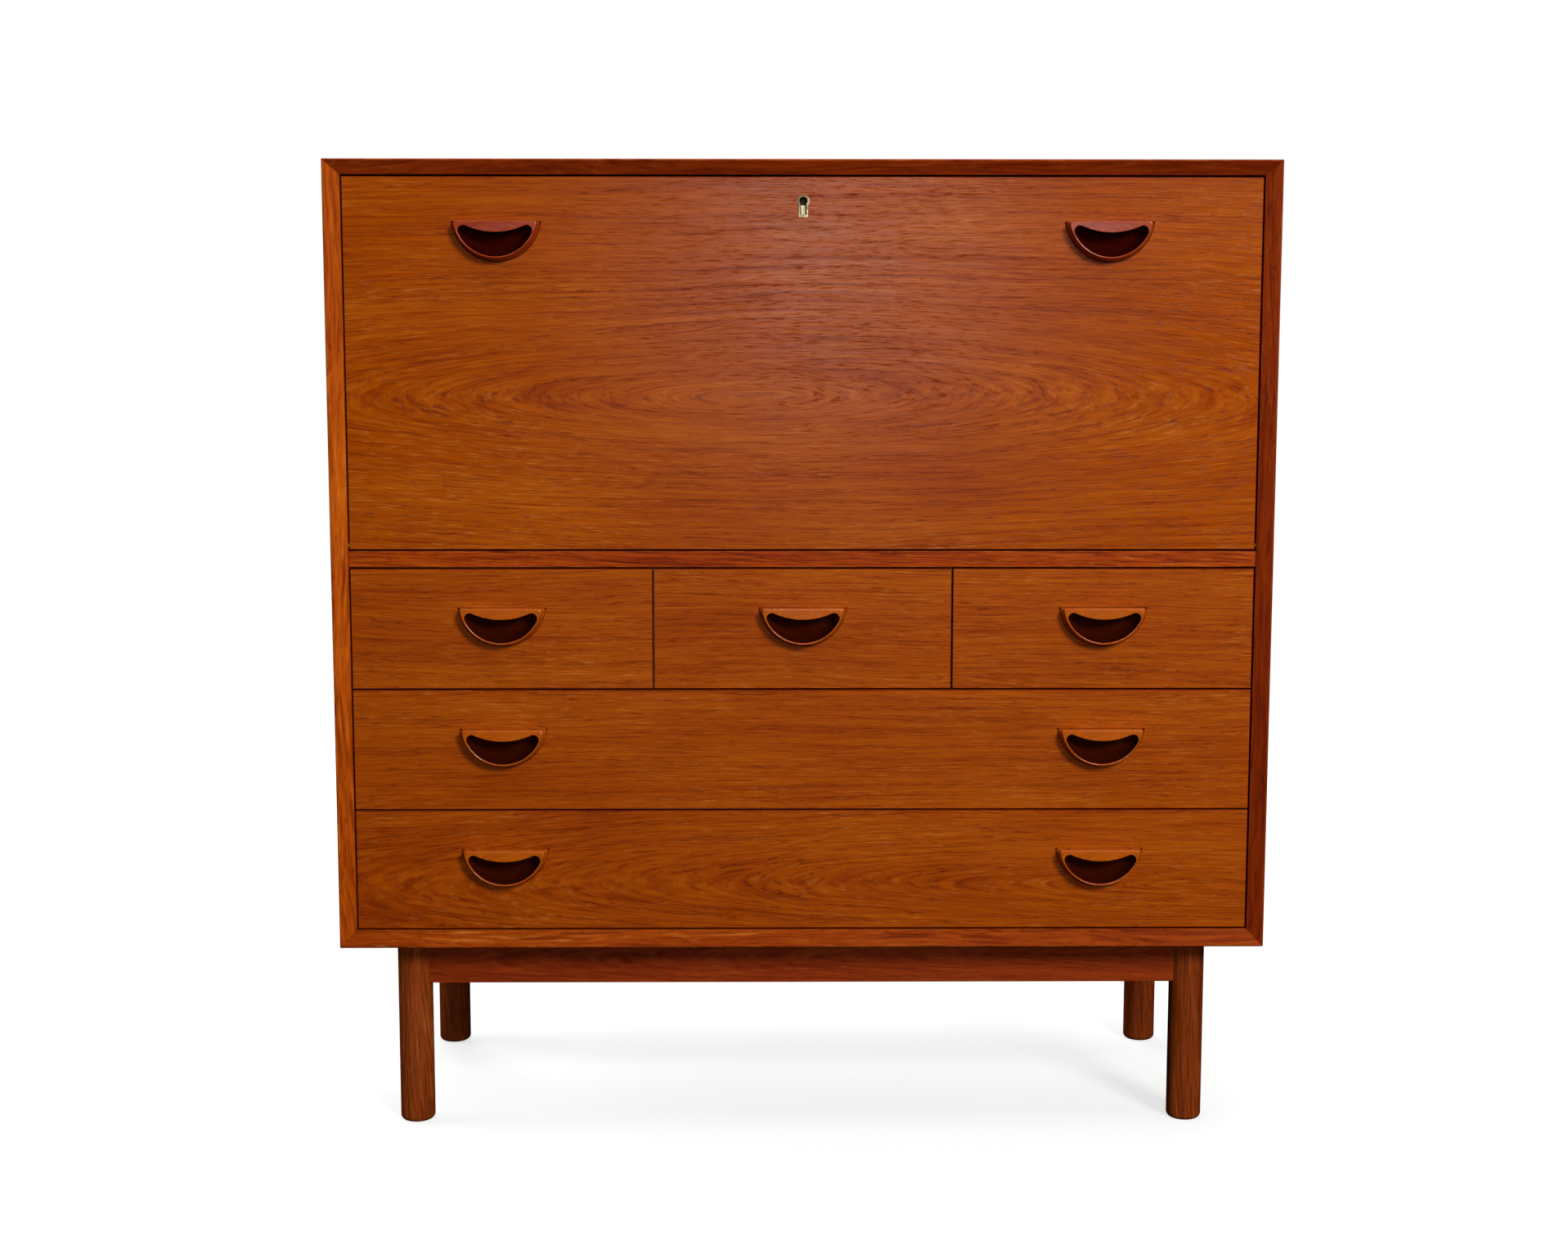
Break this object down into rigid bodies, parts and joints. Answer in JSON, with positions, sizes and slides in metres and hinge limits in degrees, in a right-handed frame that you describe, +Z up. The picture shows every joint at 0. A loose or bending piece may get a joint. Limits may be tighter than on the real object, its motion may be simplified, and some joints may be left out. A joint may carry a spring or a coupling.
{
  "type": "secretary desk",
  "caption": "Teak secretary desk on round legs: drop-down fall front over a writing space with pigeonholes, small and wide drawers below, half-moon carved pulls.",
  "frame": {"origin": "on the floor, under the middle of the bounding box", "axes": "+Z up; the front faces -Y; +X to the right as seen from the front"},
  "size_m": [1.08, 0.436, 1.13],
  "materials": {
    "teak_front": "oiled teak, horizontal grain",
    "teak_case": "oiled teak",
    "teak_inside": "oiled teak",
    "teak_back": "matt teak veneer",
    "teak_base": "oiled teak, darker",
    "teak_pull": "solid teak, oiled",
    "oak": "plain oak",
    "brass": "aged brass"
  },
  "bodies": {
    "case": {"case_top": "teak_case", "case_bottom": "teak_case", "case_side_left": "teak_case", "case_side_right": "teak_case", "back_panel": "teak_back", "desk_rail": "teak_front", "desk_deck": "teak_inside", "pigeonhole_shelf": "teak_inside", "pigeonhole_divider_left": "teak_inside", "pigeonhole_divider_middle": "teak_inside", "pigeonhole_divider_right": "teak_inside", "partition_left": "oak", "partition_right": "oak", "shelf_under_small_drawers": "oak", "shelf_between_wide_drawers": "oak", "strike_plate": "brass", "hinge_pin_left": "brass", "hinge_pin_right": "brass", "stay_pin_left": "brass", "stay_pin_right": "brass", "leg_front_left": "teak_base", "leg_front_right": "teak_base", "leg_back_left": "teak_base", "leg_back_right": "teak_base", "base_rail_front": "teak_base", "base_rail_back": "teak_base", "base_rail_left": "teak_base", "base_rail_right": "teak_base"},
    "fall": {"fall_panel": "teak_front", "fall_pull_left": "teak_pull", "fall_pull_right": "teak_pull", "escutcheon": "brass", "lock_body": "brass", "stay_bracket_left": "brass", "stay_bracket_right": "brass"},
    "lock_bolt": {"lock_bolt": "brass"},
    "stay_left": {"stay_left": "brass"},
    "stay_right": {"stay_right": "brass"},
    "drawer_small_left": {"drawer_small_left_front": "teak_front", "drawer_small_left_pull": "teak_pull", "drawer_small_left_box": "oak", "drawer_small_left_bottom": "oak"},
    "drawer_small_middle": {"drawer_small_middle_front": "teak_front", "drawer_small_middle_pull": "teak_pull", "drawer_small_middle_box": "oak", "drawer_small_middle_bottom": "oak"},
    "drawer_small_right": {"drawer_small_right_front": "teak_front", "drawer_small_right_pull": "teak_pull", "drawer_small_right_box": "oak", "drawer_small_right_bottom": "oak"},
    "drawer_wide_upper": {"drawer_wide_upper_front": "teak_front", "drawer_wide_upper_pull_left": "teak_pull", "drawer_wide_upper_pull_right": "teak_pull", "drawer_wide_upper_box": "oak", "drawer_wide_upper_bottom": "oak"},
    "drawer_wide_lower": {"drawer_wide_lower_front": "teak_front", "drawer_wide_lower_pull_left": "teak_pull", "drawer_wide_lower_pull_right": "teak_pull", "drawer_wide_lower_box": "oak", "drawer_wide_lower_bottom": "oak"}
  },
  "joints": [
    {"name": "fall_hinge", "type": "hinge", "parent": "case", "child": "fall", "pos_m": [0, -0.2, 0.695], "axis": [1, 0, 0], "range_deg": [0, 90]},
    {"name": "lock_bolt_slide", "type": "slide", "parent": "fall", "child": "lock_bolt", "axis": [0, 0, 1], "range_m": [0, 0.008]},
    {"name": "stay_left_pivot", "type": "hinge", "parent": "fall", "child": "stay_left", "pos_m": [-0.5145, -0.174, 0.8933], "axis": [-1, 0, 0], "range_deg": [0, 45]},
    {"name": "stay_right_pivot", "type": "hinge", "parent": "fall", "child": "stay_right", "pos_m": [0.5145, -0.174, 0.8933], "axis": [-1, 0, 0], "range_deg": [0, 45]},
    {"name": "drawer_small_left_slide", "type": "slide", "parent": "case", "child": "drawer_small_left", "axis": [0, -1, 0], "range_m": [0, 0.3]},
    {"name": "drawer_small_middle_slide", "type": "slide", "parent": "case", "child": "drawer_small_middle", "axis": [0, -1, 0], "range_m": [0, 0.3]},
    {"name": "drawer_small_right_slide", "type": "slide", "parent": "case", "child": "drawer_small_right", "axis": [0, -1, 0], "range_m": [0, 0.3]},
    {"name": "drawer_wide_upper_slide", "type": "slide", "parent": "case", "child": "drawer_wide_upper", "axis": [0, -1, 0], "range_m": [0, 0.3]},
    {"name": "drawer_wide_lower_slide", "type": "slide", "parent": "case", "child": "drawer_wide_lower", "axis": [0, -1, 0], "range_m": [0, 0.3]}
  ],
  "couplings": [
    {"joint": "stay_left_pivot", "follows": "fall_hinge", "ratio": 0.5},
    {"joint": "stay_right_pivot", "follows": "fall_hinge", "ratio": 0.5}
  ]
}
